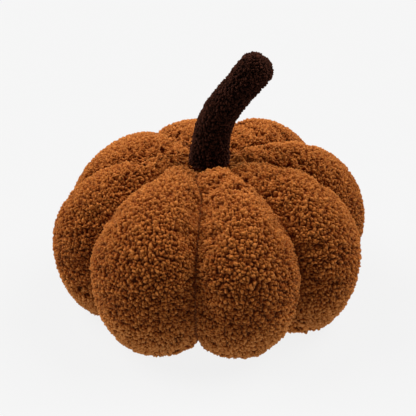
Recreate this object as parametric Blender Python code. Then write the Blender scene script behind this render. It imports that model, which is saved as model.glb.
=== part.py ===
"""Pumpkin cushion: a stuffed body of eight sewn puffs and a curved, stuffed stem on top. Metres, +Z up.

The body stands on the floor at z = 0, with x = y = 0 under the middle of its box. The front is -Y.
"""

import math
from collections import namedtuple

import bmesh
import bpy
import numpy as np

# Seams of the body: curves in upright planes, which all meet at the top and at the bottom
SEAM_REACH = 0.1535  # from the middle out to a seam, where the body is widest
WIDEST_HEIGHT = 0.086  # height of that place above the floor
SEAM_RISE = 0.0843  # from there up to a seam's top
SEAM_DROP = 0.0915  # and down to its bottom, where the floor presses it flat
SHOULDER = 0.73  # roundness of a seam above its widest place, smaller is squarer
HAUNCH = 0.43  # and below it

# Hollow in the top, which the stem is sewn into
HOLLOW_DEPTH = 0.012
HOLLOW_RADIUS = 0.028
SEAT_RADIUS = 0.0255  # the flat patch in its bottom
GATHER_WIDTH = 0.0225  # ring round the seat in which the puffs flatten out

# Tuck in the underside, where the seams are drawn together
TUCK_HEIGHT = 0.016
TUCK_RADIUS = 0.032

# Puffs: the cloth between two seams bulges in an arc
BULGE_HALF_ANGLE = math.radians(68)
FLOOR_EASE = 0.003  # half the height in which the cloth turns onto the floor
SEAM_SWING = 0.0565  # on the way out from the seat, where a seam turns from its top place to its lower one

# One row for each puff: where its first seam lies, in degrees round from the front, below and at the seat, and
# how full the puff is
Puff = namedtuple("Puff", "seam_deg top_deg fullness")
PUFFS = (
    Puff(seam_deg=-5.3, top_deg=-22, fullness=0.935),  # front right
    Puff(seam_deg=39, top_deg=38, fullness=1.09),  # right
    Puff(seam_deg=80, top_deg=82, fullness=1.01),  # back right
    Puff(seam_deg=122, top_deg=124, fullness=0.92),  # behind, right of the stem
    Puff(seam_deg=167.5, top_deg=168, fullness=0.62),  # behind, left of the stem
    Puff(seam_deg=213.5, top_deg=214, fullness=0.61),  # back left
    Puff(seam_deg=269, top_deg=262, fullness=0.995),  # left
    Puff(seam_deg=305.5, top_deg=296, fullness=0.98),  # front left
)

# Stem: a stuffed tube with a round end, leaning to the right as it rises
STEM_LENGTH = 0.1424
STEM_FOOT_RADIUS = 0.0240
STEM_FLAT_RADIUS = 0.0200  # of the foot's flat underside, inside the seat
STEM_TIP_RADIUS = 0.0194
STEM_TAPER_LENGTH = 0.026  # how fast the foot narrows to the tip's radius
STEM_FOOT_ROUNDING = 0.007  # height in which the foot's underside rounds into its side
STEM_TIP_ROUNDING = 0.0162  # length of the round end
STEM_TIP_BLUNTNESS = 0.41  # power of its curve, 0.5 is a plain ellipse and less is blunter
STEM_FOOT_LEAN = math.radians(5)
STEM_TIP_LEAN = math.radians(37.5)
STEM_BEND_START = 0.015  # the bend lies between these two places along the stem
STEM_BEND_END = 0.090
SEWN_GAP = 0.0003  # between the stem's foot and its seat

# Fineness of the meshes
SEAM_STEPS = 42
PUFF_STEPS = 12
STEM_SIDES = 20
STEM_STEPS = 14
ROUND_STEPS = 5
FINE_STEPS = 2000

RUST_CLOTH = (0.300, 0.108, 0.024, 1)
DARK_BROWN_CLOTH = (0.018, 0.007, 0.004, 1)
PILE_ROUGHNESS = 0.95
SHARP_ANGLE = math.radians(80)


def ease(start, end, value):
    """0 up to start, 1 from end on, and a smooth rise between them."""
    share = np.clip((value - start) / (end - start), 0, 1)
    return share * share * (3 - 2 * share)


def seam_curve():
    """Reach and height of a seam at even steps along it, from the gather below to the seat above."""
    angle = np.linspace(-math.pi / 2, math.pi / 2, FINE_STEPS)
    upper = angle > 0
    reach = SEAM_REACH * np.clip(np.cos(angle), 0, 1) ** np.where(upper, SHOULDER, HAUNCH)
    height = WIDEST_HEIGHT + np.where(upper, SEAM_RISE, SEAM_DROP) * np.sin(angle)
    height -= np.where(upper, HOLLOW_DEPTH, 0) * np.exp(-((reach / HOLLOW_RADIUS) ** 2))
    height += np.where(upper, 0, TUCK_HEIGHT) * np.exp(-((reach / TUCK_RADIUS) ** 2))
    sewn = reach > SEAT_RADIUS
    reach, height = reach[sewn], height[sewn]
    steps = np.hypot(np.diff(reach), np.diff(height))
    along = np.concatenate([[0], np.cumsum(steps)])
    even = np.linspace(0, along[-1], SEAM_STEPS + 1)
    return np.interp(even, along, reach), np.interp(even, along, height)


def settle(height):
    """Heights with what lies below the floor pressed flat onto it."""
    turning = (height + FLOOR_EASE) ** 2 / (4 * FLOOR_EASE)
    return np.where(height < -FLOOR_EASE, 0, np.where(height < FLOOR_EASE, turning, height))


def seam_angles(puff, reach):
    """Where the first seam of a puff lies in each row, in radians round from the front."""
    upper = np.arange(len(reach)) > reach.argmax()
    down = np.where(upper, ease(SEAT_RADIUS, SEAT_RADIUS + SEAM_SWING, reach), 1)
    return np.radians(puff.top_deg + (puff.seam_deg - puff.top_deg) * down)


def puff_points(reach, height, first, last, fullness):
    """Points of one puff: a row for each step up its seams, from the first seam almost to the last."""
    middle, half = (first + last) / 2, (last - first) / 2
    out = np.stack([np.sin(middle), -np.cos(middle), 0 * middle], axis=1)
    across = np.stack([np.cos(middle), np.sin(middle), 0 * middle], axis=1)
    up = np.array([0, 0, 1])
    rise, run = np.gradient(height), np.gradient(reach)
    length = np.hypot(rise, run)
    normal = (rise / length)[:, None] * out - (run / length)[:, None] * up
    bend = BULGE_HALF_ANGLE * np.linspace(-1, 1, PUFF_STEPS + 1)[:-1]
    radius = reach * np.sin(half) / math.sin(BULGE_HALF_ANGLE)
    gathered = ease(SEAT_RADIUS, SEAT_RADIUS + GATHER_WIDTH, reach)
    swell = radius * gathered * fullness
    chord = (reach * np.cos(half))[:, None] * out + height[:, None] * up
    sideways = radius[:, None, None] * np.sin(bend)[None, :, None] * across[:, None, :]
    lift = np.cos(bend) - math.cos(BULGE_HALF_ANGLE)
    outward = lift[None, :, None] * (swell[:, None] * normal)[:, None, :]
    return chord[:, None, :] + sideways + outward


def body_rings(reach, height):
    """The body's points in rings, from the bottom to the top, each ring going once round."""
    rows = []
    for index, puff in enumerate(PUFFS):
        following = PUFFS[(index + 1) % len(PUFFS)]
        full_turn = 0 if following.seam_deg > puff.seam_deg else 2 * math.pi
        first, last = seam_angles(puff, reach), seam_angles(following, reach) + full_turn
        rows.append(puff_points(reach, height, first, last, puff.fullness))
    rings = np.concatenate(rows, axis=1)
    rings[..., 2] = settle(rings[..., 2])
    return rings


def stem_sections():
    """Distance along the stem and radius of each of its sections, from the flat foot to the tip."""
    turn = np.linspace(0, math.pi / 2, ROUND_STEPS + 1)
    foot = STEM_FOOT_ROUNDING * (1 - np.cos(turn))
    tip = STEM_LENGTH - STEM_TIP_ROUNDING * (1 - np.sin(turn))
    side = np.linspace(foot[-1], tip[0], STEM_STEPS + 1)[1:-1]
    along = np.concatenate([foot, side, tip])
    radius = STEM_TIP_RADIUS + (STEM_FOOT_RADIUS - STEM_TIP_RADIUS) * np.exp(-along / STEM_TAPER_LENGTH)
    from_foot = np.clip(1 - along / STEM_FOOT_ROUNDING, 0, 1)
    from_tip = np.clip(1 - (STEM_LENGTH - along) / STEM_TIP_ROUNDING, 0, 1)
    foot_share = STEM_FLAT_RADIUS / STEM_FOOT_RADIUS
    radius *= foot_share + (1 - foot_share) * np.sqrt(1 - from_foot**2)
    radius *= (1 - from_tip**2) ** STEM_TIP_BLUNTNESS
    return along, radius


def stem_rings():
    """The stem's rings from its foot, whose middle is the origin, to the tip, whose ring is a point."""
    along, radius = stem_sections()
    fine = np.linspace(0, STEM_LENGTH, FINE_STEPS)
    lean = STEM_FOOT_LEAN + (STEM_TIP_LEAN - STEM_FOOT_LEAN) * ease(STEM_BEND_START, STEM_BEND_END, fine)
    step = fine[1]
    x = np.interp(along, fine, np.concatenate([[0], np.cumsum(np.sin(lean[:-1]) * step)]))
    z = np.interp(along, fine, np.concatenate([[0], np.cumsum(np.cos(lean[:-1]) * step)]))
    tilt = np.interp(along, fine, lean) * ease(0, STEM_BEND_START, along)
    round_angle = np.linspace(0, 2 * math.pi, STEM_SIDES, endpoint=False)
    centre = np.stack([x, 0 * x, z], axis=1)[:, None, :]
    right = np.stack([np.cos(tilt), 0 * tilt, -np.sin(tilt)], axis=1)[:, None, :]
    back = np.array([0, 1, 0])
    cosines = np.cos(round_angle)[None, :, None]
    sines = np.sin(round_angle)[None, :, None]
    return centre + radius[:, None, None] * (cosines * right + sines * back)


def closed_skin(name, rings, first_point, last_point):
    """A mesh over rings of points, with a fan to a point at each end."""
    bm = bmesh.new()
    rows = [[bm.verts.new(point) for point in ring] for ring in rings]
    for lower, upper in zip(rows, rows[1:]):
        for index, vertex in enumerate(lower):
            after = (index + 1) % len(lower)
            bm.faces.new((vertex, lower[after], upper[after], upper[index]))
    for row, point, below in ((rows[0], first_point, True), (rows[-1], last_point, False)):
        middle = bm.verts.new(point)
        for index, vertex in enumerate(row):
            after = row[(index + 1) % len(row)]
            bm.faces.new((after, vertex, middle) if below else (vertex, after, middle))
    mesh = bpy.data.meshes.new(name)
    bm.to_mesh(mesh)
    bm.free()
    mesh.shade_smooth()
    mesh.set_sharp_from_angle(angle=SHARP_ANGLE)
    return mesh


def cloth(name, colour):
    material = bpy.data.materials.new(name)
    material.use_nodes = True
    surface = material.node_tree.nodes["Principled BSDF"]
    surface.inputs["Base Color"].default_value = colour
    surface.inputs["Roughness"].default_value = PILE_ROUGHNESS
    surface.inputs["Metallic"].default_value = 0
    return material


def add_piece(name, skin, place, material):
    piece = bpy.data.objects.new(name, skin)
    piece.location = place
    piece.data.materials.append(material)
    bpy.context.scene.collection.objects.link(piece)
    return piece


def add_body(rings, meeting):
    gather = rings[0].mean(axis=0)
    seat = rings[-1].mean(axis=0)
    skin = closed_skin("body", rings, gather, seat)
    add_piece("body", skin, (*meeting, 0), cloth("rust_cloth", RUST_CLOTH))


def add_stem(seat_height, meeting):
    rings = stem_rings()
    skin = closed_skin("stem", rings[:-1], (0, 0, 0), rings[-1, 0])
    add_piece("stem", skin, (*meeting, seat_height + SEWN_GAP), cloth("dark_brown_cloth", DARK_BROWN_CLOTH))


def add_cushion():
    reach, height = seam_curve()
    rings = body_rings(reach, height)
    box_middle = (rings.min(axis=(0, 1)) + rings.max(axis=(0, 1))) / 2
    meeting = (-box_middle[0], -box_middle[1])  # where the seams meet, seen from above
    add_body(rings, meeting)
    add_stem(height[-1], meeting)


for leftover in list(bpy.data.objects):
    bpy.data.objects.remove(leftover)
add_cushion()
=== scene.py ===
"""Pumpkin cushion: its cover and stem of curly pile cloth, on a pale table. Metres, +Z up."""

import math
from collections import namedtuple
from itertools import product

import bpy
import numpy as np
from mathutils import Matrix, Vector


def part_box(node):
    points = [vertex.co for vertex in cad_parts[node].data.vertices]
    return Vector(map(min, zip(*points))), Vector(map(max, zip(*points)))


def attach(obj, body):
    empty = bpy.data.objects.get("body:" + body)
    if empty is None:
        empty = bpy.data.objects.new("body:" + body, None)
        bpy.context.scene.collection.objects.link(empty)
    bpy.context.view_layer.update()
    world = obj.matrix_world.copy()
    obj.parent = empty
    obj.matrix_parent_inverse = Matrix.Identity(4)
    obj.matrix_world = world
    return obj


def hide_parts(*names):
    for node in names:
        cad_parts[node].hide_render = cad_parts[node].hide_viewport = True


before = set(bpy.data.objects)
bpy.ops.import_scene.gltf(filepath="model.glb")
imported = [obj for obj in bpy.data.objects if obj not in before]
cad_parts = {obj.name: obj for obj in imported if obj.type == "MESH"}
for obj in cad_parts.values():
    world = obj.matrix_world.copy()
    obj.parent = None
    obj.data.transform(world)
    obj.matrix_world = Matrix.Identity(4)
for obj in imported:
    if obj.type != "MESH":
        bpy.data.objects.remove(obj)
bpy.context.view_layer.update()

# Body cover
# Eight gores of rust-coloured, short curly pile cloth are sewn edge to edge. The seams are drawn in,
# the cover is stuffed with loose fibre until the gores puff out, and the underside lies flat on the
# table.

SEAM_REACH = 0.1535  # from the middle out to a seam, where the body is widest
WIDEST_HEIGHT = 0.086
SEAM_RISE = 0.0843  # from there up to a seam's top
SEAM_DROP = 0.0915  # and down to its bottom, before the table presses it flat
SHOULDER = 0.73  # roundness of a seam above its widest place, smaller is squarer
HAUNCH = 0.43  # and below it
HOLLOW_DEPTH = 0.012  # of the hollow in the top
HOLLOW_RADIUS = 0.028
TUCK_HEIGHT = 0.016  # of the tuck in the underside
TUCK_RADIUS = 0.032
SEAT_RADIUS = 0.0255  # flat patch under the stem
GATHER_WIDTH = 0.0225  # ring round that patch in which the puffs rise
SEAM_SWING = 0.0565  # how far from the seat a seam turns from its place there to its place below
BULGE_HALF_ANGLE = math.radians(68)  # half the arc that a gore makes from seam to seam
FLOOR_EASE = 0.003  # height within which the cloth rounds off onto the table
CLOSED_RADIUS = 0.004  # how near the middle the gores run, above and below
SEAM_ALLOWANCE = 0.007  # how far a gore runs on past its seam, turned in
TURN_IN_LIMIT = 0.38  # the most that may be, as a share of its half width
STITCH_WIDTH = 0.0015  # strip beside a seam where the thread holds the pile down
STITCH_THINNING = 0.7  # share of the pile's depth that is lost there, which also paints a darker tone along it as shade
FINE_STEPS = 2400  # points along a line from which others are read
SMALL_SHARE = 0.001  # of a gore's half width, a step that finds the way across it
ROW_LINE = 0.5  # where on the half width a gore's rows are spaced out
FLAT_LINE = 0.6  # and where its length is taken for laying it flat
FEWEST_STEPS = 4  # across a gore, near its ends

Gore = namedtuple("Gore", "name seam_deg top_deg fullness")
GORES = (
    Gore("gore_front_right", seam_deg=-5.3, top_deg=-22, fullness=0.935),
    Gore("gore_right", seam_deg=39, top_deg=38, fullness=1.09),
    Gore("gore_back_right", seam_deg=80, top_deg=82, fullness=1.01),
    Gore("gore_behind_right", seam_deg=122, top_deg=124, fullness=0.92),
    Gore("gore_behind_left", seam_deg=167.5, top_deg=168, fullness=0.62),
    Gore("gore_back_left", seam_deg=213.5, top_deg=214, fullness=0.61),
    Gore("gore_left", seam_deg=269, top_deg=262, fullness=0.995),
    Gore("gore_front_left", seam_deg=305.5, top_deg=296, fullness=0.98),
)

# Stuffing, blown up as cloth
SIM_ROWS = 60
SIM_COLUMNS = 16  # across one gore
STUFFING_PRESSURE = 4.0
SLACK_BULGE = 0.92  # bulge of the empty cover over that of the stuffed one
STUFFING_FRAMES = 20
SLACK = 0.05  # spare cloth between the seams, which puckers
BODY_SWELL_CAP = 0.0038  # the most that stuffing moves the cover
STITCH_HOLD = 0.004  # cloth this close to the table stays put
SEAT_HOLD = 0.029  # and so does cloth this near the middle
TINY_LENGTH = 1e-9

# Pile
Pile = namedtuple("Pile", "spacing radius depth root overhang")
BODY_PILE = Pile(
    spacing=0.0033,
    radius=0.0025,
    depth=0.0048,
    root=0.0043,  # how far its roots lie under the body's outer form
    overhang=0.0006,
)
CURL_STRETCH = 1.5  # length of the longest curls over their width
CURL_WARP = 0.0013  # how far the curls are bent out of shape
CURL_WARP_SIZE = 0.0035
SMALLEST_CURL = 0.58  # size of the smallest curl over the largest
CURL_PLACES = (0.06, 0.94)  # where in its cell of the grid a curl may stand
CURL_ROUNDNESS = 0.7  # 0.5 is a ball, and more is a softer mound
CREASE = 0.34  # share of the pile's depth in which a curl rises from its neighbour's edge
CREASE_HEIGHT = 0.5  # height left in a crease, as a share of the curl's
CREASE_SHADE_TONE = 0.2  # and the tone left there, painted shade in the crease
STITCHED_ROOT = 0.9  # how much of the root's depth goes where the thread holds the pile down
GRAIN = 0.00084  # size of the mesh's triangles
UNDERSIDE_GRAIN = 0.0017  # and of those on the underside
UNDERSIDE_HEIGHT = 0.012  # which reaches this high
FIRST_GORE_SEED = 100

# The pile's colours: the root's and the side's are painted shade down in the creases, the tip's is
# lighter, and the end's is a painted highlight on the tallest curls.
PileColours = namedtuple("PileColours", "root side tip end sheen")
RUST = PileColours(
    root=(0.044, 0.0037, 0.0004, 1),
    side=(0.178, 0.0235, 0.0018, 1),
    tip=(0.430, 0.129, 0.0220, 1),
    end=(0.590, 0.228, 0.064, 1),
    sheen=(1.0, 0.46, 0.17, 1),
)
RUST_SHEEN = 0.6
RUST_FIBRE = 0.0012
CREASE_SHADE_STOP = 0.08  # tones at which the pile has its root's and its side's colours, painted shade in the creases, and its tip's colour
SIDE_STOP = 0.30
TIP_STOP = 0.62
CURL_TONE = 0.75  # how much of the tone comes from the curls
FIBRE_TONE = 1.2  # how much the fibres change it
PATCH_TONE = 0.04  # and how much wide patches do
PATCH_SCALE = 70
FIBRE_TWIST = 1.2
FIBRE_BUMP = 0.9
PAINTED_TOP_LIGHT = 0.27  # how much paler painted light makes the pile on top
TOP_LIGHT_START = 0.10  # height from which that painted light starts
TOP_LIGHT_END = 0.16
PAINTED_FOOT_CONTRAST = 1.3  # how much stronger painted light on the curls and painted shade in the creases are near the table
FOOT_CONTRAST_START = 0.075  # height below which they do
FOOT_CONTRAST_END = 0.01


def smooth(share):
    return share * share * (3 - 2 * share)


def ease(start, end, value):
    """0 up to start, 1 from end on, and a smooth rise between them."""
    return smooth(np.clip((value - start) / (end - start), 0, 1))


def seam_curve():
    """Reach, height, and the rise and run of each step, at even steps from a seam's foot to its top."""
    angle = np.linspace(-math.pi / 2, math.pi / 2, FINE_STEPS)
    upper = angle > 0
    reach = SEAM_REACH * np.clip(np.cos(angle), 0, 1) ** np.where(upper, SHOULDER, HAUNCH)
    height = WIDEST_HEIGHT + np.where(upper, SEAM_RISE, SEAM_DROP) * np.sin(angle)
    height -= np.where(upper, HOLLOW_DEPTH, 0) * np.exp(-((reach / HOLLOW_RADIUS) ** 2))
    height += np.where(upper, 0, TUCK_HEIGHT) * np.exp(-((reach / TUCK_RADIUS) ** 2))
    sewn = reach > CLOSED_RADIUS
    reach, height = reach[sewn], height[sewn]
    along = np.concatenate([[0], np.cumsum(np.hypot(np.diff(reach), np.diff(height)))])
    even = np.linspace(0, along[-1], FINE_STEPS)
    reach, height = np.interp(even, along, reach), np.interp(even, along, height)
    rise, run = np.gradient(height), np.gradient(reach)
    length = np.hypot(rise, run)
    return reach, height, rise / length, run / length


SEAM = seam_curve()


def seam_reach(up_seam):
    return np.interp(up_seam, np.linspace(0, 1, FINE_STEPS), SEAM[0])


def settle(height):
    """Heights with what lies below the table's top pressed flat onto it."""
    turning = (height + FLOOR_EASE) ** 2 / (4 * FLOOR_EASE)
    return np.where(height < -FLOOR_EASE, 0, np.where(height < FLOOR_EASE, turning, height))


def seams_of(index, reach):
    """Where a gore's two seams lie at that reach from the middle, in radians round from the front."""
    first, last = GORES[index], GORES[(index + 1) % len(GORES)]
    full_turn = 0 if last.seam_deg > first.seam_deg else 360
    down = ease(SEAT_RADIUS, SEAT_RADIUS + SEAM_SWING, reach)
    starts = first.top_deg + (first.seam_deg - first.top_deg) * down
    ends = last.top_deg + (last.seam_deg - last.top_deg) * down + full_turn
    return np.radians(starts), np.radians(ends)


def gore_points(index, up_seam, across):
    """Points of a gore: up_seam runs 0 to 1 up its seams, and across -1 to 1 from seam to seam."""
    share = np.linspace(0, 1, FINE_STEPS)
    reach, height, rise, run = (np.interp(up_seam, share, column) for column in SEAM)
    first, last = seams_of(index, np.where(up_seam > 0.5, reach, SEAM_REACH))
    middle, half = (first + last) / 2, (last - first) / 2
    out = np.stack([np.sin(middle), -np.cos(middle), 0 * middle], axis=1)
    sideways = np.stack([np.cos(middle), np.sin(middle), 0 * middle], axis=1)
    radius = reach * np.sin(half) / math.sin(BULGE_HALF_ANGLE)
    gathered = ease(SEAT_RADIUS, SEAT_RADIUS + GATHER_WIDTH, reach)
    bend = BULGE_HALF_ANGLE * across
    fullness = GORES[index].fullness * SLACK_BULGE
    lift = (np.cos(bend) - math.cos(BULGE_HALF_ANGLE)) * radius * gathered * fullness
    outward = reach * np.cos(half) + lift * rise
    points = outward[:, None] * out + (radius * np.sin(bend))[:, None] * sideways
    points[:, 2] = settle(height - lift * run)
    return points


def half_width(index, up_seam):
    """From the crest of a gore round to its seam."""
    first, last = seams_of(index, SEAM_REACH)
    radius = seam_reach(up_seam) * np.sin((last - first) / 2) / math.sin(BULGE_HALF_ANGLE)
    return BULGE_HALF_ANGLE * radius


def beside_seam(index, up_seam, across):
    """1 on a gore's seams and past them, and down to 0 a little way inside them."""
    gap = np.maximum(1 - np.abs(across), 0) * half_width(index, up_seam)
    return np.exp(-((gap / STITCH_WIDTH) ** 2))


def laid_flat(index, up_seam, across):
    """Where points of a gore lie on the flat cloth, up and across, and the way across on the gore."""
    fine = np.linspace(0, 1, FINE_STEPS)
    line = gore_points(index, fine, np.full(FINE_STEPS, FLAT_LINE))
    travelled = np.concatenate([[0], np.cumsum(np.linalg.norm(np.diff(line, axis=0), axis=1))])
    width = half_width(index, fine)
    widening = np.interp(up_seam, fine, width * np.gradient(width, travelled))
    up = np.interp(up_seam, fine, travelled) - widening * across**2 / 2
    points = gore_points(index, up_seam, across)
    step = gore_points(index, up_seam, across + SMALL_SHARE) - points
    stride = np.linalg.norm(step, axis=1, keepdims=True)
    return np.stack([up, np.interp(up_seam, fine, width) * across], axis=1), step / stride


def whole_cover():
    """The cover's points in rings, from the gather below to the seat above, each once round."""
    rows = np.linspace(0, 1, SIM_ROWS + 1)
    columns = np.linspace(-1, 1, SIM_COLUMNS + 1)[:-1]
    up_seam, across = np.meshgrid(rows, columns, indexing="ij")
    gores = [gore_points(index, up_seam.ravel(), across.ravel()) for index in range(len(GORES))]
    return np.concatenate([points.reshape(*up_seam.shape, 3) for points in gores], axis=1)


def new_mesh(name, points, faces):
    mesh = bpy.data.meshes.new(name)
    mesh.from_pydata(points, [], faces)
    mesh.shade_smooth()
    return mesh


def stuffed(name, rings, held, swell_cap):
    """How far stuffing moves the points of a closed tube of cloth. held is 1 where it is sewn down."""
    rows, columns = rings.shape[:2]
    numbers = np.arange(rows * columns).reshape(rows, columns)
    after = np.roll(numbers, -1, axis=1)
    faces = np.stack([numbers[:-1], after[:-1], after[1:], numbers[1:]], axis=-1)
    faces = faces.reshape(-1, 4).tolist() + [numbers[0, ::-1].tolist(), numbers[-1].tolist()]
    cover = bpy.data.objects.new(name, new_mesh(name, rings.reshape(-1, 3), faces))
    bpy.context.scene.collection.objects.link(cover)
    sewn = cover.vertex_groups.new(name="sewn")
    for number, weight in enumerate(held.ravel()):
        sewn.add([number], float(weight), "REPLACE")
    cloth = cover.modifiers.new("stuffing", "CLOTH")
    cloth.settings.vertex_group_mass = "sewn"
    cloth.settings.use_pressure = True
    cloth.settings.uniform_pressure_force = STUFFING_PRESSURE
    cloth.settings.effector_weights.gravity = 0
    cloth.settings.shrink_min = -SLACK
    cloth.collision_settings.use_collision = False
    cloth.point_cache.frame_end = STUFFING_FRAMES
    for number in range(1, STUFFING_FRAMES + 1):
        bpy.context.scene.frame_set(number)
    shaped = cover.evaluated_get(bpy.context.evaluated_depsgraph_get())
    moved = np.empty(rows * columns * 3)
    shaped.data.vertices.foreach_get("co", moved)
    moved = moved.reshape(rings.shape) - rings
    bpy.context.scene.frame_set(1)
    mesh = cover.data
    bpy.data.objects.remove(cover)
    bpy.data.meshes.remove(mesh)
    length = np.linalg.norm(moved, axis=-1, keepdims=True)
    return moved * swell_cap * np.tanh(length / swell_cap) / np.maximum(length, TINY_LENGTH)


def between(table, row, column):
    """Values of a table at fractional rows and columns. Its columns go round."""
    rows, columns = table.shape[:2]
    low = np.clip(np.floor(row).astype(int), 0, rows - 2)
    left = np.floor(column).astype(int)
    up, right = (row - low)[:, None], (column - left)[:, None]
    up, right = smooth(up), smooth(right)
    left, beyond = left % columns, (left + 1) % columns
    lower = table[low, left] * (1 - right) + table[low, beyond] * right
    upper = table[low + 1, left] * (1 - right) + table[low + 1, beyond] * right
    return lower * (1 - up) + upper * up


def zipped(counts, wrap):
    """Triangles over rows of unlike numbers of points, each row as evenly spaced as the next."""
    starts = np.concatenate([[0], np.cumsum(counts)])
    faces = []
    for row in range(len(counts) - 1):
        here, there = counts[row], counts[row + 1]
        steps_here, steps_there = (here, there) if wrap else (here - 1, there - 1)
        lower, upper = np.arange(steps_here), np.arange(steps_there)
        lower_key, upper_key = (lower + 0.5) / steps_here, (upper + 0.5) / steps_there
        above = np.searchsorted(upper_key, lower_key)
        below = np.searchsorted(lower_key, upper_key, side="right")
        first, second = starts[row], starts[row + 1]
        corners = [first + lower, first + (lower + 1) % here, second + above % there]
        faces.append(np.stack(corners, axis=1))
        corners = [second + (upper + 1) % there, second + upper, first + below % here]
        faces.append(np.stack(corners, axis=1))
    return np.concatenate(faces)


def drift(points, size, rng):
    """A smooth, random push in each direction, -1 to 1, that changes over about that size."""
    low = points.min(axis=0)
    place = (points - low) / size
    cell = np.floor(place).astype(int)
    pushes = rng.uniform(-1, 1, (*(cell.max(axis=0) + 2), points.shape[1]))
    share = smooth(place - cell)
    push = np.zeros_like(points)
    for corner in product((0, 1), repeat=points.shape[1]):
        weight = np.prod(np.where(corner, share, 1 - share), axis=1, keepdims=True)
        push += weight * pushes[tuple((cell + corner).T)]
    return push


def curls(points, pile, rng):
    """The pile at some points: its height, the rise from the nearest crease, and its curl's lean.

    Each curl is a stretched ball somewhere in its cell of a grid, and the tallest at a point wins.
    """
    points = points + CURL_WARP * drift(points, CURL_WARP_SIZE, rng)
    low = points.min(axis=0) - 2 * pile.spacing
    home = np.floor((points - low) / pile.spacing).astype(int)
    cells = home.max(axis=0) + 2
    places = rng.uniform(*CURL_PLACES, (*cells, points.shape[1]))
    headings = rng.normal(size=(*cells, points.shape[1]))
    headings /= np.linalg.norm(headings, axis=-1, keepdims=True)
    sizes = rng.uniform(SMALLEST_CURL, 1.0, size=cells)
    stretches = rng.uniform(1.0, CURL_STRETCH, size=cells)
    height, second = np.zeros(len(points)), np.zeros(len(points))
    way_out = np.zeros_like(points)
    for step in product((-1, 0, 1), repeat=points.shape[1]):
        cell = home + step
        place = tuple(cell.T)
        away = points - low - (cell + places[place]) * pile.spacing
        heading, size = headings[place], sizes[place]
        along = (away * heading).sum(axis=1)
        across = away - along[:, None] * heading
        spread = (across**2).sum(axis=1) + (along / stretches[place]) ** 2
        spread = spread / (pile.radius * size) ** 2
        dome = size * np.clip(1 - spread, 0, 1) ** CURL_ROUNDNESS
        taller = dome > height
        second = np.where(taller, height, np.maximum(second, dome))
        height = np.where(taller, dome, height)
        way_out[taller] = across[taller] / pile.radius
    return height, height - second, way_out


def numbers_of(items, name, width):
    """The same vector of each of a mesh's items, one to a row."""
    found = np.empty(len(items) * width, np.float32)
    items.foreach_get(name, found)
    return found.reshape(-1, width).astype(float)


def add_pile(mesh, rng, pile, flat, sideways, thinning=0, painted_foot_contrast=0, painted_top_light=0):
    """Raises curly pile on a mesh, and leaves its tone, from crease to tip, as pile_tip: painted shade
    in the creases and lighter curls.

    flat holds the points' places on the flat cloth, and sideways its second direction on the mesh.
    """
    points = numbers_of(mesh.vertices, "co", 3)
    normals = numbers_of(mesh.vertex_normals, "vector", 3)
    height, rise, way_out = curls(flat, pile, rng)
    grown = ease(0, CREASE, rise)
    way_out = way_out[:, :1] * np.cross(sideways, normals) + way_out[:, 1:] * sideways
    way_out -= (way_out * normals).sum(axis=1, keepdims=True) * normals
    # Lower pile takes a lower tone too, so the strip beside a seam gets painted shade.
    height *= 1 - thinning
    lift = pile.depth * height * (CREASE_HEIGHT + (1 - CREASE_HEIGHT) * grown)
    lift -= pile.root * (1 - STITCHED_ROOT * thinning)
    points += lift[:, None] * normals + pile.overhang * (grown * height)[:, None] * way_out
    points[:, 2] = np.maximum(points[:, 2], 0)
    mesh.vertices.foreach_set("co", points.astype(np.float32).ravel())
    # The tone is low in the creases, where it paints shade, and rises on the curls.
    tone = (CREASE_SHADE_TONE + (1 - CREASE_SHADE_TONE) * grown) * height
    # Near the table, painted light on the curls and painted shade in the creases are made stronger.
    tone += painted_foot_contrast * (tone - CREASE_SHADE_TONE)
    # On top, painted light makes the pile paler.
    tone += painted_top_light * (1 - tone)
    tip = mesh.attributes.new("pile_tip", "FLOAT", "POINT")
    tip.data.foreach_set("value", tone.astype(np.float32))
    mesh.update()


class Value:
    """A number that varies over a surface. Sums and products of it add Math nodes to its finish."""

    def __init__(self, finish, plug):
        self.finish = finish
        self.plug = plug

    def work_out(self, operation, first, second):
        return self.finish.node("ShaderNodeMath", {"operation": operation}, {0: first, 1: second})

    def __add__(self, other):
        return self.work_out("ADD", self, other)

    def __sub__(self, other):
        return self.work_out("SUBTRACT", self, other)

    def __rsub__(self, other):
        return self.work_out("SUBTRACT", other, self)

    def __mul__(self, other):
        return self.work_out("MULTIPLY", self, other)

    __radd__ = __add__
    __rmul__ = __mul__


class Finish:
    """A material, whose nodes are added one by one.

    Each comes from its type, its settings, and the values or links of its sockets.
    """

    def __init__(self, name):
        self.material = bpy.data.materials.new(name)
        self.material.use_nodes = True
        self.tree = self.material.node_tree
        self.surface = self.tree.nodes["Principled BSDF"]

    def set(self, sockets, values):
        for key, value in values.items():
            if isinstance(value, Value):
                self.tree.links.new(value.plug, sockets[key])
            else:
                sockets[key].default_value = value

    def node(self, kind, settings, values, output=0):
        made = self.tree.nodes.new(kind)
        for key, value in settings.items():
            if key == "stops":
                ramp = made.color_ramp
                while len(ramp.elements) < len(value):
                    ramp.elements.new(1)
                for element, (position, colour) in zip(ramp.elements, value):
                    element.position, element.color = position, colour
            else:
                setattr(made, key, value)
        self.set(made.inputs, values)
        return Value(self, made.outputs[output])


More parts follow.
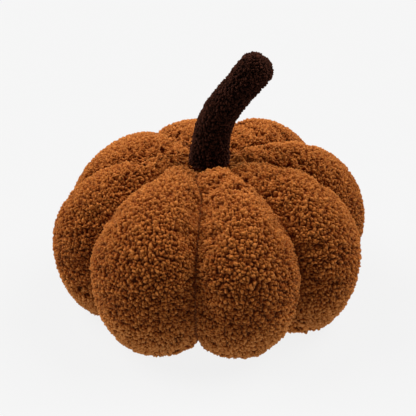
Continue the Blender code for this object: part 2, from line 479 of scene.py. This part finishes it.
def pile_cloth(name, colours, sheen, fibre_size):
    """Curly pile: painted shade down in the creases, lighter on the curls, with fine fibres and a
    sheen.
    """
    finish = Finish(name)
    place = finish.node("ShaderNodeTexCoord", {}, {}, "Object")
    grown = finish.node("ShaderNodeAttribute", {"attribute_name": "pile_tip"}, {}, "Fac")
    fibres = finish.node("ShaderNodeTexNoise", {}, {
        "Vector": place,
        "Scale": 1 / fibre_size,
        "Detail": 3,
        "Distortion": FIBRE_TWIST,
    })
    patches = finish.node("ShaderNodeTexNoise", {}, {
        "Vector": place,
        "Scale": PATCH_SCALE,
        "Detail": 2,
    })
    tone = CURL_TONE * grown + FIBRE_TONE * (fibres - 0.5) + PATCH_TONE * (patches - 0.5)
    # From the root's colour, painted shade in the creases, to the end's, a painted highlight on the
    # tallest curls.
    stops = [
        (CREASE_SHADE_STOP, colours.root),
        (SIDE_STOP, colours.side),
        (TIP_STOP, colours.tip),
        (1, colours.end),
    ]
    colour = finish.node("ShaderNodeValToRGB", {"stops": stops}, {"Fac": tone})
    bump = finish.node("ShaderNodeBump", {}, {
        "Height": fibres,
        "Strength": FIBRE_BUMP,
        "Distance": fibre_size,
    })
    finish.set(finish.surface.inputs, {
        "Base Color": colour,
        "Normal": bump,
        "Roughness": 0.95,
        "Specular IOR Level": 0.0,
        "Sheen Weight": sheen,
        "Sheen Roughness": 0.5,
        "Sheen Tint": colours.sheen,
    })
    return finish.material


def add_gore(index, shift, stuffing, cloth):
    """One gore, a little past its two seams, with its pile."""
    gore = GORES[index]
    rng = np.random.default_rng(FIRST_GORE_SEED + index)
    fine = np.linspace(0, 1, FINE_STEPS)
    crest = gore_points(index, fine, np.full(FINE_STEPS, ROW_LINE))
    stride = np.linalg.norm(np.diff(crest, axis=0), axis=1)
    grain = np.where(crest[:-1, 2] < UNDERSIDE_HEIGHT, UNDERSIDE_GRAIN, GRAIN)
    steps = np.concatenate([[0], np.cumsum(stride / grain)])
    rows = int(steps[-1])
    up_seam = np.interp(np.linspace(0, steps[-1], rows + 1), steps, fine)
    width = half_width(index, up_seam)
    reach = 1 + np.minimum(SEAM_ALLOWANCE / width, TURN_IN_LIMIT)
    row_grain = np.interp(up_seam, fine[:-1], grain)
    counts = np.maximum((2 * width * reach / row_grain).astype(int), FEWEST_STEPS) + 1
    up = np.repeat(up_seam, counts)
    rungs = [np.linspace(-edge, edge, count) for edge, count in zip(reach, counts)]
    across = np.concatenate(rungs)
    points = gore_points(index, up, across)
    if stuffing is not None:
        column = (index + (across + 1) / 2) * SIM_COLUMNS
        points += between(stuffing, up * SIM_ROWS, column)
    mesh = new_mesh(gore.name, points + shift, zipped(counts, wrap=False))
    thinning = STITCH_THINNING * beside_seam(index, up, across)
    flat, sideways = laid_flat(index, up, across)
    # Stronger painted light and shade near the table.
    painted_foot_contrast = PAINTED_FOOT_CONTRAST * ease(FOOT_CONTRAST_START, FOOT_CONTRAST_END, points[:, 2])
    # Painted light on the top of the cushion.
    painted_top_light = PAINTED_TOP_LIGHT * ease(TOP_LIGHT_START, TOP_LIGHT_END, points[:, 2])
    add_pile(mesh, rng, BODY_PILE, flat, sideways, thinning, painted_foot_contrast, painted_top_light)
    mesh.materials.append(cloth)
    piece = bpy.data.objects.new(gore.name, mesh)
    bpy.context.scene.collection.objects.link(piece)
    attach(piece, "root")
    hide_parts("body")


def add_cover():
    """All the gores. Gives how far they were moved, to stand the middle of their box on the origin."""
    rings = whole_cover()
    box_middle = (rings.min(axis=(0, 1)) + rings.max(axis=(0, 1))) / 2
    shift = np.array([-box_middle[0], -box_middle[1], 0])
    stuffing = None
    held = np.zeros(rings.shape[:2])
    held[:, ::SIM_COLUMNS] = 1
    held[rings[..., 2] < STITCH_HOLD] = 1
    held[seam_reach(np.linspace(0, 1, SIM_ROWS + 1)) < SEAT_HOLD] = 1
    stuffing = stuffed("stuffing", rings, held, BODY_SWELL_CAP)
    cloth = pile_cloth("rust_curly_pile", RUST, RUST_SHEEN, RUST_FIBRE)
    for index in range(len(GORES)):
        add_gore(index, shift, stuffing, cloth)
    return shift


meeting = add_cover()

# Stem
# One tube of dark brown, short curly pile cloth with a round end. It is stuffed firmly, and sewn by
# its foot into the hollow on top, from where it leans over to the right.

STEM_LENGTH = 0.1424
STEM_FOOT_RADIUS = 0.0240
STEM_FLAT_RADIUS = 0.0195
STEM_TIP_RADIUS = 0.0192
STEM_TAPER_LENGTH = 0.026
STEM_FOOT_ROUNDING = 0.007
STEM_TIP_ROUNDING = 0.0160
STEM_TIP_BLUNTNESS = 0.41
STEM_FOOT_LEAN = math.radians(5)
STEM_TIP_LEAN = math.radians(37.5)
STEM_BEND_START = 0.015
STEM_BEND_END = 0.090
STEM_GRAIN = 0.00075
STEM_FEWEST_SIDES = 8  # round its tip
STEM_SIM_ROWS = 40
STEM_SIM_SIDES = 28
STEM_SIM_GAP = 0.001  # between the tip and the last ring that is blown up
STEM_HELD_ROWS = 3  # at each end
STEM_SWELL_CAP = 0.0006
STEM_SETTLE_LENGTH = 0.045  # its foot keeps its form, and the puckers start this far up
STEM_PILE = Pile(spacing=0.0027, radius=0.0019, depth=0.0038, root=0.0030, overhang=0.0004)
STEM_SEED = 7

# The stem's pile has the same painted shade in its creases and a painted highlight on its tallest
# curls.
BROWN = PileColours(
    root=(0.0006, 0.0003, 0.0002, 1),
    side=(0.004, 0.0013, 0.0007, 1),
    tip=(0.038, 0.0115, 0.0062, 1),
    end=(0.105, 0.033, 0.020, 1),
    sheen=(1.0, 0.42, 0.30, 1),
)
BROWN_SHEEN = 0.15
BROWN_FIBRE = 0.0009


def stem_points(along, turn):
    """Points of the stem: along is the distance from its foot, turn the angle round it."""
    radius = STEM_FOOT_RADIUS - STEM_TIP_RADIUS
    radius = STEM_TIP_RADIUS + radius * np.exp(-along / STEM_TAPER_LENGTH)
    from_foot = np.clip(1 - along / STEM_FOOT_ROUNDING, 0, 1)
    from_tip = np.clip(1 - (STEM_LENGTH - along) / STEM_TIP_ROUNDING, 0, 1)
    foot_share = STEM_FLAT_RADIUS / STEM_FOOT_RADIUS
    radius = radius * (foot_share + (1 - foot_share) * np.sqrt(1 - from_foot**2))
    radius = radius * (1 - from_tip**2) ** STEM_TIP_BLUNTNESS
    fine = np.linspace(0, STEM_LENGTH, FINE_STEPS)
    bent = ease(STEM_BEND_START, STEM_BEND_END, fine)
    lean = STEM_FOOT_LEAN + (STEM_TIP_LEAN - STEM_FOOT_LEAN) * bent
    x = np.interp(along, fine, np.concatenate([[0], np.cumsum(np.sin(lean[:-1]) * fine[1])]))
    z = np.interp(along, fine, np.concatenate([[0], np.cumsum(np.cos(lean[:-1]) * fine[1])]))
    tilt = np.interp(along, fine, lean) * ease(0, STEM_BEND_START, along)
    right, back = radius * np.cos(turn), radius * np.sin(turn)
    return np.stack([x + right * np.cos(tilt), back, z - right * np.sin(tilt)], axis=1)


def stem_stuffing(along, turn):
    """How far stuffing moves points of the stem."""
    rows = np.linspace(0, STEM_LENGTH - STEM_SIM_GAP, STEM_SIM_ROWS + 1)
    sides = np.linspace(0, 2 * math.pi, STEM_SIM_SIDES, endpoint=False)
    grid_along, grid_turn = np.meshgrid(rows, sides, indexing="ij")
    rings = stem_points(grid_along.ravel(), grid_turn.ravel()).reshape(*grid_along.shape, 3)
    held = np.zeros(grid_along.shape)
    held[:STEM_HELD_ROWS] = held[-STEM_HELD_ROWS:] = 1
    moved = stuffed("stem_stuffing", rings, held, STEM_SWELL_CAP)
    moved *= ease(0, STEM_SETTLE_LENGTH, rows)[:, None, None]
    row = np.clip(along / rows[-1], 0, 1) * STEM_SIM_ROWS
    return between(moved, row, turn / (2 * math.pi) * STEM_SIM_SIDES)


def add_stem(shift):
    even = np.linspace(0, STEM_LENGTH, FINE_STEPS)
    profile = stem_points(even, np.full(FINE_STEPS, math.pi / 2))
    stride = np.linalg.norm(np.diff(profile, axis=0), axis=1)
    steps = np.concatenate([[0], np.cumsum(stride / STEM_GRAIN)])
    rows = int(steps[-1])
    heights = np.interp(np.linspace(0, steps[-1], rows + 1)[:-1], steps, even)
    girth = 2 * math.pi * stem_points(heights, np.full(rows, math.pi / 2))[:, 1]
    counts = np.maximum((girth / STEM_GRAIN).astype(int), STEM_FEWEST_SIDES)
    along = np.repeat(heights, counts)
    turns = [np.linspace(0, 2 * math.pi, count, endpoint=False) for count in counts]
    turn = np.concatenate(turns)
    points = stem_points(along, turn)
    points += stem_stuffing(along, turn)
    tip = stem_points(np.array([STEM_LENGTH]), np.array([0.0]))
    points = np.concatenate([points, tip]) + shift
    sides = counts[-1]
    last = sum(counts) - sides
    faces = zipped(counts, wrap=True).tolist()
    faces += [[last + i, last + (i + 1) % sides, len(points) - 1] for i in range(sides)]
    mesh = new_mesh("stem_cover", points, faces)
    rng = np.random.default_rng(STEM_SEED)
    along, turn = np.append(along, STEM_LENGTH), np.append(turn, 0)
    sideways = np.stack([-np.sin(turn), np.cos(turn), 0 * turn], axis=1)
    flat = np.stack([along, STEM_FOOT_RADIUS * (turn - math.pi)], axis=1)
    add_pile(mesh, rng, STEM_PILE, flat, sideways)
    mesh.materials.append(pile_cloth("dark_brown_curly_pile", BROWN, BROWN_SHEEN, BROWN_FIBRE))
    piece = bpy.data.objects.new("stem_cover", mesh)
    bpy.context.scene.collection.objects.link(piece)
    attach(piece, "root")
    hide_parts("stem")


stem_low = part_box("stem")[0]
add_stem(meeting + np.array([0, 0, stem_low[2]]))

# Table
# A plain, pale sheet of paper on a light table, which is lit from below so that the cushion's shadow
# is faint. It isn't part of the cushion.

TABLE_SIZE = 120
TABLE_COLOUR = (0.036, 0.036, 0.036, 1)
TABLE_MOTTLE_COLOUR = (0.040, 0.040, 0.040, 1)
TABLE_MOTTLE = 0.04
TABLE_MOTTLE_SCALE = 3.0
TABLE_GLOW = 0.85
MIX_FACTOR, MIX_FIRST, MIX_SECOND = 0, 6, 7  # sockets of a Mix node for colours
MIX_COLOUR = 2  # and its output

edge = TABLE_SIZE / 2
corners = [(-edge, -edge, 0), (edge, -edge, 0), (edge, edge, 0), (-edge, edge, 0)]
table_mesh = new_mesh("table", corners, [(0, 1, 2, 3)])
paper = Finish("pale_paper")
place = paper.node("ShaderNodeTexCoord", {}, {}, "Object")
mottle = paper.node("ShaderNodeTexNoise", {}, {"Vector": place, "Scale": TABLE_MOTTLE_SCALE})
tint = paper.node("ShaderNodeMix", {"data_type": "RGBA"}, {
    MIX_FACTOR: mottle * TABLE_MOTTLE,
    MIX_FIRST: TABLE_COLOUR,
    MIX_SECOND: TABLE_MOTTLE_COLOUR,
}, MIX_COLOUR)
paper.set(paper.surface.inputs, {
    "Base Color": tint,
    "Roughness": 0.9,
    "Specular IOR Level": 0.0,
    "Emission Color": (1, 1, 1, 1),
    "Emission Strength": TABLE_GLOW,
})
table_mesh.materials.append(paper.material)
table = bpy.data.objects.new("table", table_mesh)
bpy.context.scene.collection.objects.link(table)

# Light
# An even room, and two broad, soft lamps, one from each side and both from a little behind.

ROOM_LIGHT = 0.22
LAMP_SPREAD = math.radians(40)

Lamp = namedtuple("Lamp", "name strength behind_deg sideways_deg")
LAMPS = (
    Lamp("lamp_left", strength=3.65, behind_deg=14, sideways_deg=-42),
    Lamp("lamp_right", strength=3.35, behind_deg=14, sideways_deg=37),
)

room = bpy.data.worlds.new("room")
room.use_nodes = True
room.node_tree.nodes["Background"].inputs["Color"].default_value = (1, 1, 1, 1)
room.node_tree.nodes["Background"].inputs["Strength"].default_value = ROOM_LIGHT
bpy.context.scene.world = room

for lamp in LAMPS:
    light = bpy.data.lights.new(lamp.name, "SUN")
    light.energy = lamp.strength
    light.angle = LAMP_SPREAD
    stand = bpy.data.objects.new(lamp.name, light)
    tilt = (-math.radians(lamp.behind_deg), math.radians(lamp.sideways_deg), 0)
    stand.rotation_euler = tilt
    bpy.context.scene.collection.objects.link(stand)

# Camera
# It looks at the cushion from the front and a little from above, as the photo's did.

CAMERA_DISTANCE = 1.400
CAMERA_TILT = math.radians(29.2)
CAMERA_TARGET = (-0.0037, 0, 0.1105)
FRAME_WIDTH = 0.4668  # what the picture spans at the target
SENSOR = 36

camera_data = bpy.data.cameras.new("camera")
camera_data.sensor_width = SENSOR
camera_data.lens = SENSOR * CAMERA_DISTANCE / FRAME_WIDTH
camera = bpy.data.objects.new("camera", camera_data)
camera.location = (
    CAMERA_TARGET[0],
    CAMERA_TARGET[1] - CAMERA_DISTANCE * math.cos(CAMERA_TILT),
    CAMERA_TARGET[2] + CAMERA_DISTANCE * math.sin(CAMERA_TILT),
)
camera.rotation_euler = (math.pi / 2 - CAMERA_TILT, 0, 0)
bpy.context.scene.collection.objects.link(camera)
bpy.context.scene.camera = camera
bpy.context.scene.view_settings.view_transform = "Standard"
